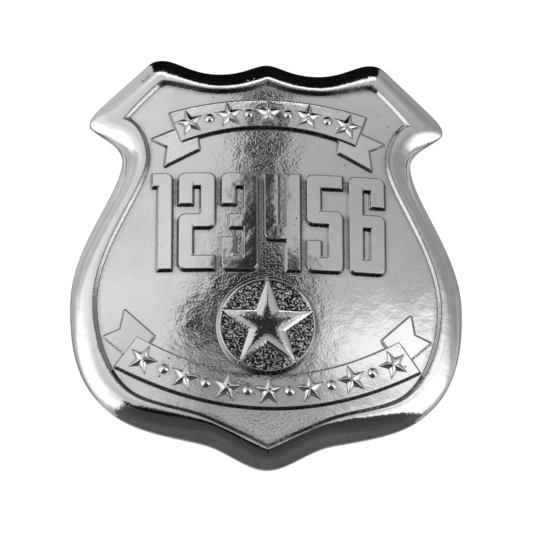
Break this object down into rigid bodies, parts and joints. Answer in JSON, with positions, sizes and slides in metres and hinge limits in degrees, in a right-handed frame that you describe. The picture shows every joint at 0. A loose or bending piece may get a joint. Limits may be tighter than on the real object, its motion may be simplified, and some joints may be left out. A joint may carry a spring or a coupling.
{
  "type": "police badge",
  "caption": "Domed chrome badge in the shape of a shield, with a rounded rim, ribbons, a row of raised digits, a ringed star and a pin strip in its hollow back.",
  "frame": {"origin": "middle of the overall size in X and Y, on the plane that the rim's underside rests on", "axes": "+Z out of the badge's face, +Y to its top, +X to the right of a person who looks at its face"},
  "size_m": [0.0634, 0.0695, 0.0069],
  "materials": {
    "casting": "bright plated casting with a fine grain in its field",
    "pin": "plain nickelled steel"
  },
  "bodies": {
    "root": {"shield": "casting", "back_pin": "pin"}
  },
  "joints": []
}
